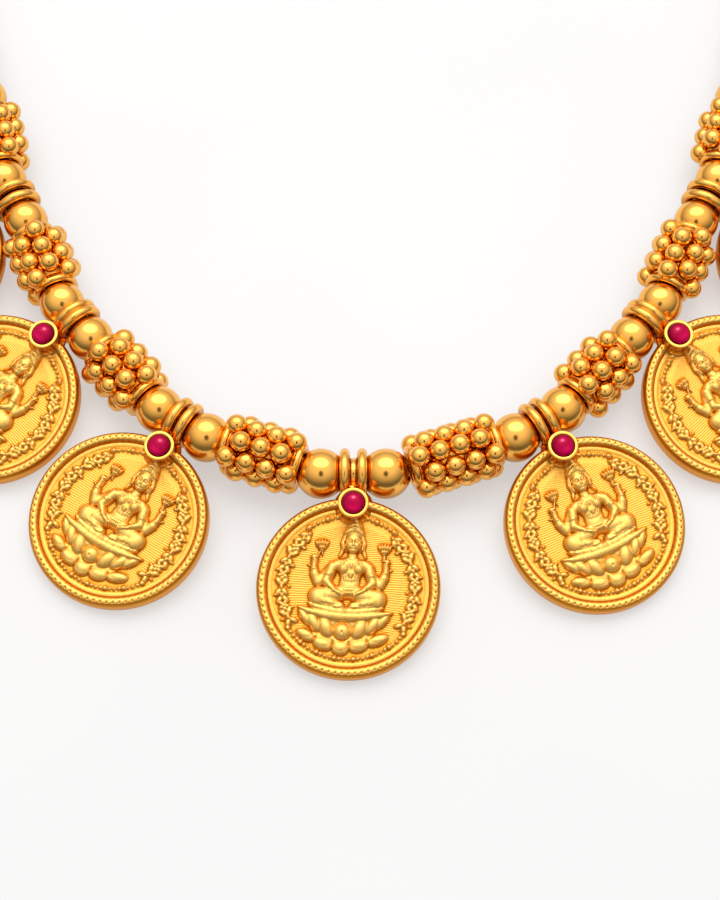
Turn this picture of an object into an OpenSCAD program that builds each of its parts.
// Temple necklace of gold coins, lying on a flat surface, in millimetres.
// +Z is up, the surface is z = 0, and the coins point to -Y.
// The thread runs from the middle coin out to both sides, mirrored about x = 0, and back to the clasp.
// The origin lies on the surface, below the middle of the whole necklace.

/* [Coins] */
// Diameter of a coin
coin_d = 25; // [21:0.5:28]
// Thickness of a coin at its rim
coin_t = 2.2; // [1.8:0.1:2.8]
// Width of the smooth flange round the rim
flange_w = 0.5; // [0.4:0.1:1]
// Wire thickness of the rope ring inside the flange
rope_wire = 0.95; // [0.6:0.05:1.3]
// Width of the smooth groove inside the rope ring
groove_w = 0.5; // [0.3:0.05:1]
// Depth of the coin's field below the rim
field_depth = 0.55; // [0.3:0.05:0.9]
// Height of the figure above the field
relief_h = 1.05; // [0.6:0.05:1.4]
// Radius of the wreath's middle line
wreath_r = 9.1; // [8:0.1:9.4]
// Number of leaf pairs and beads in the wreath
wreath_count = 30; // [20:2:40]
// Size of one leaf or bead of the wreath
wreath_leaf = 1.3; // [0.6:0.1:1.5]

/* [Stone settings] */
// Diameter of a stone
stone_d = 3.35; // [2.6:0.05:3.8]
// Height of a stone's straight girdle
stone_girdle = 0.7; // [0.4:0.05:1]
// Radius of a stone's domed top
stone_dome_r = 2.1; // [2:0.05:4]
// Wall of the collar round a stone
bezel_wall = 0.3; // [0.2:0.05:0.5]
// Height of the collar above the coin's field
bezel_h = 2.45; // [1.8:0.05:3]
// Distance of the collar's middle from the coin's top edge
bezel_inset = 1.2; // [0.6:0.1:2]
// Air gap between a stone and its collar
stone_gap = 0.05; // [0.02:0.01:0.1]

/* [Bails] */
// Wire thickness of a bail ring
bail_wire = 1.42; // [1:0.02:1.7]
// Outer diameter of a bail ring
bail_ring_d = 7.1; // [6.6:0.1:8]
// Distance between the two rings of the middle coin's bail
bail_pitch = 2.4; // [2.2:0.1:3]
// Outer diameter of the tube between the rings
bail_tube_d = 4.8; // [3.5:0.1:5.5]
// Distance from the thread to the coin's near edge
coin_reach = 3.75; // [3.65:0.05:4.3]
// Height of the thread above the coin's edge, measured at mid thickness
bail_drop = 0.2; // [-0.2:0.05:0.6]

/* [Plain beads] */
// Diameter of the plain beads beside the middle coin
bead_d = 7; // [6:0.1:8]
// Bore of a plain bead
bead_bore = 2.2; // [2:0.1:2.8]
// Air gap between a plain bead and a ring beside it
bead_gap = 0.12; // [0.1:0.02:0.3]

/* [Granulated barrels] */
// Mean length of the two inner barrels between their end rings
barrel_inner_l = 11.2; // [10.8:0.1:13]
// How much the right inner barrel is longer, and the left one shorter, than their mean
barrel_uneven = 0.75; // [0:0.05:0.8]
// Length of all other barrels between their end rings
barrel_l = 9.4; // [9:0.1:11]
// Diameter of one granule
granule_d = 2.85; // [2.4:0.05:2.9]
// Distance between granules along a row
granule_pitch = 2.9; // [2.9:0.05:3.1]
// Radius of the circle on which the granules sit
granule_circle_r = 3.35; // [3.2:0.05:4]
// Number of rows round a barrel
granule_rows = 8; // [6:2:10]
// Radius of the barrel's core tube
core_r = 2.65; // [2.3:0.05:2.9]
// Middle radius of a barrel's end ring
end_ring_r = 2.75; // [2.5:0.05:3]
// Wire thickness of a barrel's end ring
end_ring_wire = 1.05; // [0.8:0.05:1.3]

/* [Thread and back strings] */
// Thickness of the stringing wire
thread_d = 0.8; // [0.5:0.05:0.9]
// Bore of the bails and barrels
thread_bore = 1.7; // [1.3:0.05:2]
// Diameter of the plain beads of the back strings
back_bead_d = 5.6; // [4.5:0.1:6]
// Bore of the beads of the back strings
back_bore = 1.9; // [1.7:0.05:2.2]
// Smallest air gap between beads of the back strings
back_gap = 0.15; // [0.12:0.01:0.4]
// Straight stretch of the thread before the back curve
side_straight = 18; // [14:1:30]
// Slack of the thread beside each inner barrel
slack = 0.5; // [0.3:0.1:1]
// How far the middle coin and its two beads have slid to the right, as a share of the slack
slide_share = -0.6; // [-0.6:0.1:0.6]

/* [Clasp] */
// Length of the clasp
clasp_l = 13; // [10:0.5:18]
// Diameter of the clasp
clasp_d = 5.6; // [4.8:0.1:6]
// Width of the band round the clasp's middle
clasp_band_w = 2.4; // [1.5:0.1:4]
// Diameter of the clasp between its band and its ends
clasp_body_d = 5; // [4.2:0.1:5.4]
// Diameter of the clasp's end faces
clasp_end_d = 3.4; // [3:0.1:4]
// Depth of the socket at each end of the clasp
clasp_socket = 3; // [2:0.1:4]

/* [Hidden] */
$fn = 32;
bead_names = ["left_7", "left_6", "left_5", "left_4", "left_3", "left_2", "left_1", "right_1", "right_2",
    "right_3", "right_4", "right_5", "right_6", "right_7", "left_8", "right_8"];
coin_names = ["left_3", "left_2", "left_1", "middle", "right_1", "right_2", "right_3"];
barrel_names = ["left_4", "left_3", "left_2", "left_1", "right_1", "right_2", "right_3", "right_4"];

// One row per plain bead, from the middle coin outwards.
// Columns: diameter as a share of bead_d, and the turn of the thread in the bead, in degrees.
BEADS = [
    [1.000, 17.8],
    [0.985, 14.8],
    [0.955, 15.0],
    [0.925, 4.2],
    [0.920, 14.1],
    [0.915, -3.1],
    [0.915, 12.0],
    [0.915, 3.0]];
// One row per coin, from left to right.
// Columns: turn of the coin against the thread, in degrees, and distance of its rings as a share of bail_pitch.
COINS = [
    [9.0, 0.85],
    [9.7, 0.53],
    [1.6, 0.72],
    [-3.6, 1.00],
    [-9.0, 0.72],
    [-9.4, 0.53],
    [-9.0, 0.85]];
// One value per barrel, from left to right: turn of the barrel round the thread, in degrees.
BARREL_ROLL = [12, -8, 20, 8, 0, 16, -12, 5];

coin_r = coin_d / 2;
bead_count = len(BEADS);
coin_middle = (len(coin_names) - 1) / 2;
side_barrels = len(barrel_names) / 2;
middle_slide = slide_share * slack - barrel_uneven;
// Everything raised on a coin starts at this height inside its disc.
root_z = coin_t / 4;
bail_wire_r = bail_wire / 2;
bail_ring_r = bail_ring_d / 2 - bail_wire_r;
thread_z = granule_circle_r + granule_d / 2;
back_z = max(back_bead_d, clasp_d) / 2;
field_z = coin_t - field_depth;
// The walls of the rope's bed stand this far from its middle, inside the rope.
rope_hold = 0.42 * rope_wire;
rope_r = coin_r - flange_w - rope_hold;
field_r = rope_r - rope_wire / 2 - groove_w;
bezel_r = stone_d / 2 + stone_gap + bezel_wall;
bezel_y = coin_r - bezel_inset;
bezel_top = field_z + bezel_h;
seat_z = bezel_top - stone_girdle - stone_gap;
// The coin leans on its bail: its far edge lies on the surface.
coin_lean = asin((thread_z - bail_drop - coin_t / 2) / coin_d);
coin_y = -coin_reach - coin_r * cos(coin_lean) + coin_t / 2 * sin(coin_lean);

// Places of the beads on the thread.
function bead_r(i) = BEADS[i][0] * bead_d / 2;
function seat(r, ring_r, ring_wire_r) = sqrt(pow(r + ring_wire_r + bead_gap, 2) - ring_r * ring_r);
function bail_seat(i) = seat(bead_r(i), bail_ring_r, bail_wire_r);
function barrel_seat(i) = seat(bead_r(i), end_ring_r, end_ring_wire / 2);
function ring_pitch(k) = COINS[coin_middle + k][1] * bail_pitch;
function mean_length(k) = k == 0 ? barrel_inner_l : barrel_l;
function barrel_length(k, side) = k == 0 ? barrel_inner_l + side * barrel_uneven : barrel_l;
function barrel_slack(k) = k == 0 ? slack : 0;
function heading(i) = i < 0 ? 0 : heading(i - 1) + BEADS[i][1];
function step(i) = i % 2 == 0
    ? barrel_seat(i) + barrel_seat(i + 1) + mean_length(i / 2) + barrel_slack(i / 2)
    : bail_seat(i) + bail_seat(i + 1) + ring_pitch((i + 1) / 2);
function ray(a) = [cos(a), sin(a), 0];
function bead_at(i) = i == 0
    ? [bail_pitch / 2 + bail_seat(0), 0, 0]
    : bead_at(i - 1) + step(i - 1) * ray(heading(i - 1));
function slide(i) = i == 0 ? middle_slide : 0;
function slid_bead_at(i, side) = bead_at(i) + [side * slide(i), 0, 0];

// The back curve: a straight stretch that sinks to the surface, then one arc to the clasp.
last = bead_count - 1;
back_heading = heading(last);
back_start = bead_at(last);
arc_start = back_start + side_straight * ray(back_heading);
arc_r = arc_start[0] / sin(back_heading);
arc_y = arc_start[1] + arc_r * cos(back_heading);
arc_turn = 180 - back_heading;
arc_l = arc_r * arc_turn * PI / 180;
back_sink = thread_z - back_z;
back_first = bead_r(last) + back_gap + back_bead_d / 2;
back_l = side_straight + arc_l - clasp_l / 2 - back_gap - back_bead_d / 2 - back_first;
back_count = floor(back_l / (back_bead_d + back_gap)) + 1;
back_pitch = back_l / (back_count - 1);
function back_turn(s) = back_heading + max(0, s - side_straight) / arc_r * 180 / PI;
function back_slope(s) = s < side_straight ? atan(back_sink / side_straight) : 0;
function back_point(s) = s < side_straight
    ? back_start + s * ray(back_heading) - [0, 0, back_sink * s / side_straight]
    : [arc_r * sin(back_turn(s)), arc_y - arc_r * cos(back_turn(s)), -back_sink];

// The origin is moved from the middle bail to below the middle of the necklace.
front_y = coin_y - coin_r * cos(coin_lean) - coin_t * sin(coin_lean);
rear_y = arc_y + arc_r + back_z;
shift_y = -(front_y + rear_y) / 2;

module mirrored() {
    children();
    mirror([1, 0, 0]) children();
}

module in_place(side) {
    translate([0, shift_y, thread_z])
        if (side < 0) mirror([1, 0, 0]) children();
        else children();
}

module ring(r, wire) {
    rotate_extrude() translate([r, 0]) circle(d = wire, $fn = 20);
}

// Coins: relief rows are in shares of the coin's radius, and their rise in shares of relief_h.
module dome(x, y, r, rise) {
    translate([x * coin_r, y * coin_r, field_z + rise * relief_h - r * coin_r])
        sphere(r = r * coin_r, $fn = 20);
}

module limb(x1, y1, x2, y2, r, rise) {
    dx = (x2 - x1) * coin_r;
    dy = (y2 - y1) * coin_r;
    joint = 1.15;
    joint_rise = 0.1;
    dome(x1, y1, r * joint, rise + joint_rise);
    dome(x2, y2, r * joint, rise + joint_rise);
    translate([x1 * coin_r, y1 * coin_r, field_z + rise * relief_h - r * coin_r])
        rotate([0, 90, atan2(dy, dx)])
        cylinder(r = r * coin_r, h = norm([dx, dy]));
}

// Columns of DOMES: x, y, radius, rise. Each row is mirrored about the figure's axis.
DOMES = [
    [0.115, 0.450, 0.045, 0.50],
    [0.150, 0.385, 0.040, 0.45],
    [0.075, 0.190, 0.090, 0.95],
    [0.372, 0.300, 0.045, 0.70],
    [0.340, 0.410, 0.060, 0.75],
    [0.395, 0.445, 0.040, 0.60],
    [0.285, 0.445, 0.040, 0.60],
    [0.340, 0.485, 0.040, 0.60],
    [0.120, -0.100, 0.050, 0.98],
    [0.185, -0.400, 0.105, 0.80],
    [0.365, -0.355, 0.100, 0.70],
    [0.385, -0.520, 0.080, 0.50],
    [0.205, -0.590, 0.085, 0.55]];
// Columns of AXIS_DOMES: x, y, radius, rise. These rows lie on the figure's axis.
AXIS_DOMES = [
    [0.030, 0.490, 0.098, 1.00],
    [0.015, 0.390, 0.050, 0.60],
    [-0.020, -0.090, 0.055, 1.05],
    [-0.020, -0.440, 0.105, 0.90],
    [-0.030, -0.625, 0.085, 0.55]];
// Columns of LIMBS: from x, y to x, y, radius, rise. Each row is mirrored.
LIMBS = [
    [0.185, 0.255, 0.310, 0.035, 0.050, 0.72],
    [0.312, 0.030, 0.372, 0.270, 0.042, 0.66],
    [0.180, 0.230, 0.235, 0.010, 0.048, 0.80],
    [0.240, 0.000, 0.120, -0.085, 0.042, 0.90],
    [0.110, -0.120, 0.330, -0.135, 0.085, 0.90]];
// Columns of AXIS_LIMBS: as LIMBS, not mirrored.
AXIS_LIMBS = [
    [0.040, 0.600, 0.050, 0.680, 0.045, 0.75],
    [0.050, 0.700, 0.050, 0.800, 0.028, 0.45],
    [-0.170, 0.270, 0.190, 0.270, 0.060, 0.75],
    [0.005, 0.200, -0.005, 0.050, 0.105, 0.80],
    [-0.330, -0.180, 0.090, -0.205, 0.060, 0.95],
    [-0.120, -0.215, 0.330, -0.185, 0.055, 0.85],
    [-0.440, -0.275, 0.410, -0.270, 0.048, 0.62]];

module relief() {
    for (d = AXIS_DOMES) dome(d[0], d[1], d[2], d[3]);
    for (l = AXIS_LIMBS) limb(l[0], l[1], l[2], l[3], l[4], l[5]);
    mirrored() {
        for (d = DOMES) dome(d[0], d[1], d[2], d[3]);
        for (l = LIMBS) limb(l[0], l[1], l[2], l[3], l[4], l[5]);
    }
}

module wreath() {
    leaf_sink = 0.15;
    for (i = [0.5:wreath_count - 0.5])
        rotate([0, 0, 90 + i * 360 / wreath_count])
        translate([wreath_r, 0, field_z - leaf_sink])
        sphere(d = wreath_leaf, $fn = 16);
}

module coin_disc() {
    edge = 0.7 * flange_w;
    foot = 0.15;
    step_w = 0.25;
    step_h = 0.12;
    arc_step = 15;
    rope_bed = coin_t - rope_wire / 2;
    rope_rise = rope_wire / 8;
    groove_z = field_z + step_h;
    rotate_extrude()
        polygon([
            [0, 0],
            [coin_r - foot, 0],
            [coin_r, foot],
            [coin_r, coin_t - edge],
            for (a = [arc_step:arc_step:90 - arc_step])
                [coin_r - edge + edge * cos(a), coin_t - edge + edge * sin(a)],
            [coin_r - edge, coin_t],
            [coin_r - flange_w, coin_t],
            [coin_r - flange_w, rope_bed],
            [rope_r - rope_hold, rope_bed],
            [field_r, groove_z],
            [field_r - step_w, groove_z],
            [field_r - step_w, field_z],
            [0, field_z]]);
    translate([0, 0, rope_bed + rope_rise]) ring(rope_r, rope_wire);
}

module bezel() {
    flare_h = 0.7;
    flare = 0.35;
    translate([0, bezel_y, root_z]) cylinder(r = bezel_r, h = bezel_top - root_z);
    translate([0, bezel_y, field_z]) cylinder(r1 = bezel_r + flare, r2 = bezel_r, h = flare_h);
}

module leaning(swing) {
    bezel_reach = bezel_y * cos(coin_lean) - bezel_top * sin(coin_lean);
    translate([0, coin_y + bezel_reach, coin_r * sin(coin_lean) - thread_z])
        rotate([0, 0, swing])
        translate([0, -bezel_reach, 0])
        rotate([coin_lean, 0, 0])
        children();
}

// Two rings with a tube between them, and a lug that joins the tube to the coin's edge.
module bail(pitch) {
    lug_h = coin_t / 2;
    lug_root = bail_tube_d / 2 - bail_wire / 4;
    lug_l = coin_reach - lug_root + bail_wire / 2;
    for (x = [-pitch / 2, pitch / 2])
        translate([x, 0, 0]) rotate([0, 90, 0]) ring(bail_ring_r, bail_wire);
    tube_l = pitch - bail_wire / 2;
    translate([-tube_l / 2, 0, 0]) rotate([0, 90, 0]) cylinder(d = bail_tube_d, h = tube_l);
    translate([-tube_l / 2, -lug_root - lug_l, -bail_drop - lug_h / 2]) cube([tube_l, lug_l, lug_h]);
}

module coin(pitch, swing) {
    color("goldenrod") difference() {
        union() {
            bail(pitch);
            leaning(swing) {
                coin_disc();
                bezel();
                intersection() {
                    union() {
                        relief();
                        wreath();
                    }
                    translate([0, 0, root_z]) cylinder(r = rope_r, h = coin_t * 2);
                }
            }
        }
        leaning(swing)
            translate([0, bezel_y, seat_z])
            cylinder(r = stone_d / 2 + stone_gap, h = stone_girdle + stone_d);
        translate([-pitch, 0, 0]) rotate([0, 90, 0]) cylinder(d = thread_bore, h = pitch * 2);
    }
}

module ruby(swing) {
    rim_z = seat_z + stone_gap + stone_girdle;
    dome_drop = sqrt(pow(stone_dome_r, 2) - pow(stone_d / 2, 2));
    color("crimson") leaning(swing)
        translate([0, bezel_y, 0])
        intersection() {
            translate([0, 0, seat_z + stone_gap]) cylinder(d = stone_d, h = stone_dome_r + stone_girdle);
            translate([0, 0, rim_z - dome_drop]) sphere(r = stone_dome_r);
        }
}

// Coin number k counts from the middle coin, and is negative on the left.
module at_coin(k) {
    i = 2 * abs(k) - 1;
    side = sign(k);
    place = k == 0
        ? [middle_slide, 0, 0]
        : bead_at(i) + (bail_seat(i) + ring_pitch(k) / 2) * ray(heading(i));
    x = k == 0 ? place[0] : side * place[0];
    turn = k == 0 ? 0 : side * heading(i);
    translate([x, place[1] + shift_y, thread_z]) rotate([0, 0, turn]) children();
}

// Barrels, on the X axis.
module granules(l) {
    row_count = floor(l / granule_pitch);
    long_rows = l > (row_count + 0.5) * granule_pitch;
    for (row = [0:granule_rows - 1]) {
        odd = row % 2;
        count = long_rows ? row_count + odd : row_count;
        shift = long_rows ? 0 : (odd - 0.5) * granule_pitch / 2;
        rotate([row * 360 / granule_rows, 0, 0])
            for (i = [0:count - 1])
                translate([(i - (count - 1) / 2) * granule_pitch + shift, 0, granule_circle_r])
                sphere(d = granule_d, $fn = 20);
    }
}

module barrel(l, roll) {
    recess = 0.8;
    sleeve = 0.2;
    core_l = l - 2 * recess;
    color("goldenrod") rotate([roll, 0, 0]) difference() {
        union() {
            granules(l);
            translate([-core_l / 2, 0, 0]) rotate([0, 90, 0]) cylinder(r = core_r, h = core_l);
            for (side = [-1, 1]) {
                translate([side * l / 2, 0, 0]) rotate([0, 90, 0]) ring(end_ring_r, end_ring_wire);
                translate([side * (l - recess) / 2, 0, 0]) rotate([0, 90, 0]) difference() {
                    cylinder(r = end_ring_r + sleeve, h = recess, center = true);
                    cylinder(r = end_ring_r - sleeve, h = recess * 2, center = true);
                }
            }
        }
        translate([-l, 0, 0]) rotate([0, 90, 0]) cylinder(d = thread_bore, h = 2 * l);
    }
}

module at_barrel(k, side) {
    i = 2 * k;
    out = barrel_seat(i) + barrel_slack(k) + mean_length(k) - barrel_length(k, side) / 2;
    place = bead_at(i) + out * ray(heading(i));
    translate([side * place[0], place[1] + shift_y, thread_z])
        rotate([0, 0, side * heading(i)])
        children();
}

// Plain beads.
module bead(i, side) {
    place = bead_at(i);
    turn = (heading(i - 1) + heading(i)) / 2;
    color("gold")
        translate([side * place[0] + slide(i), place[1] + shift_y, thread_z])
        rotate([0, 90, side * turn])
        difference() {
            sphere(r = bead_r(i));
            cylinder(d = bead_bore, h = bead_d * 2, center = true);
        }
}

module back_beads(side) {
    color("gold") in_place(side)
        for (n = [0:back_count - 1]) {
            s = back_first + n * back_pitch;
            translate(back_point(s))
                rotate([0, 90 + back_slope(s), back_turn(s)])
                difference() {
                    sphere(d = back_bead_d);
                    cylinder(d = back_bore, h = back_bead_d * 2, center = true);
                }
        }
}

// Thread: straight stretches between the bends inside the beads, then the back curve.
module wire_between(a, b) {
    bend_inset = thread_d / 8;
    v = b - a;
    translate(a)
        rotate([0, acos(v[2] / norm(v)), atan2(v[1], v[0])])
        translate([0, 0, bend_inset])
        cylinder(d = thread_d, h = norm(v) - 2 * bend_inset, $fn = 16);
}

module wire_bend(p, turn) {
    bend_size = 1.15;
    translate(p) rotate([0, 90, turn]) sphere(d = thread_d * bend_size, $fn = 16);
}

module thread() {
    end_gap = 0.4;
    end_x = clasp_l / 2 - clasp_socket + end_gap;
    arc_end = asin(end_x / arc_r);
    color("gold") {
        in_place(1) wire_between([middle_slide, 0, 0] - bead_at(0), [middle_slide, 0, 0] + bead_at(0));
        for (side = [-1, 1]) in_place(side) {
            for (i = [0:last - 1]) wire_between(slid_bead_at(i, side), slid_bead_at(i + 1, side));
            wire_between(back_start, back_point(side_straight));
            for (i = [0:last]) wire_bend(slid_bead_at(i, side), heading(i));
            wire_bend(back_point(side_straight), back_heading);
            translate([0, arc_y, -back_sink])
                rotate([0, 0, back_heading - 90])
                rotate_extrude(angle = arc_turn - arc_end)
                translate([arc_r, 0]) circle(d = thread_d, $fn = 16);
        }
    }
}

// Clasp: a turned barrel with a band, its ends hollowed for the thread.
module clasp() {
    slope = 1.2;
    half = clasp_l / 2;
    band = clasp_band_w / 2;
    color("goldenrod")
        translate([0, arc_y + arc_r + shift_y, back_z])
        rotate([0, 90, 0])
        rotate_extrude()
        polygon([
            [0, -half + clasp_socket],
            [back_bore / 2, -half + clasp_socket],
            [back_bore / 2, -half],
            [clasp_end_d / 2, -half],
            [clasp_body_d / 2, -half + slope],
            [clasp_body_d / 2, -band],
            [clasp_d / 2, -band + (clasp_d - clasp_body_d) / 2],
            [clasp_d / 2, band - (clasp_d - clasp_body_d) / 2],
            [clasp_body_d / 2, band],
            [clasp_body_d / 2, half - slope],
            [clasp_end_d / 2, half],
            [back_bore / 2, half],
            [back_bore / 2, half - clasp_socket],
            [0, half - clasp_socket]]);
}

for (c = [0:len(coin_names) - 1]) {
    k = c - coin_middle;
    at_coin(k) coin(ring_pitch(k), COINS[c][0]);
    at_coin(k) ruby(COINS[c][0]);
}
for (b = [0:len(barrel_names) - 1]) {
    side = b < side_barrels ? -1 : 1;
    k = b < side_barrels ? side_barrels - 1 - b : b - side_barrels;
    at_barrel(k, side) barrel(barrel_length(k, side), BARREL_ROLL[b]);
}
for (i = [0:last]) {
    bead(i, -1);
    bead(i, 1);
}
back_beads(-1);  // back_beads_left
back_beads(1);  // back_beads_right
thread();
clasp();
